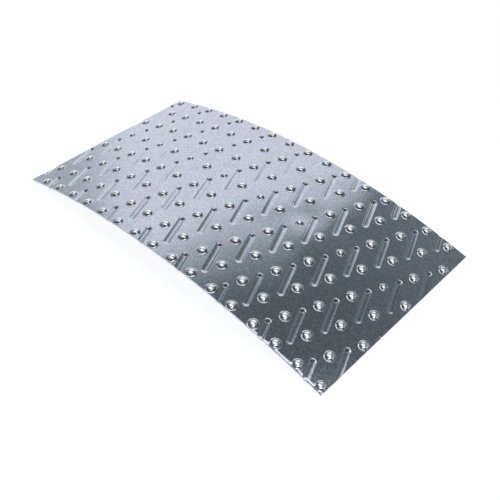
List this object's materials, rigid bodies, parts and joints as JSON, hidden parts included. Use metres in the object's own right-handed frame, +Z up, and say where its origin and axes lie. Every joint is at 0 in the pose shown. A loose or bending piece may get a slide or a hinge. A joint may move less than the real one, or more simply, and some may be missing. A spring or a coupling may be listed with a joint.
{
  "type": "embossed nail plate",
  "caption": "Rectangular galvanised sheet steel plate, bent to a shallow arch, with staggered raised round bosses and slanted pressed grooves between them.",
  "frame": {"origin": "on the ground under the middle of the plate, which lies crown up on its two short ends", "axes": "+X along the length, towards the right-hand end seen from the front long edge; +Y across the width, from the front long edge to the back one; +Z up, through the crown of the arch"},
  "size_m": [0.2034, 0.108, 0.0167],
  "materials": {
    "galvanised_steel": "hot-dip galvanised, satin to glossy, with a fine grain, light handling scratches and a faint brown stain near one corner"
  },
  "bodies": {
    "root": {"nail_plate": "galvanised_steel"}
  },
  "joints": []
}
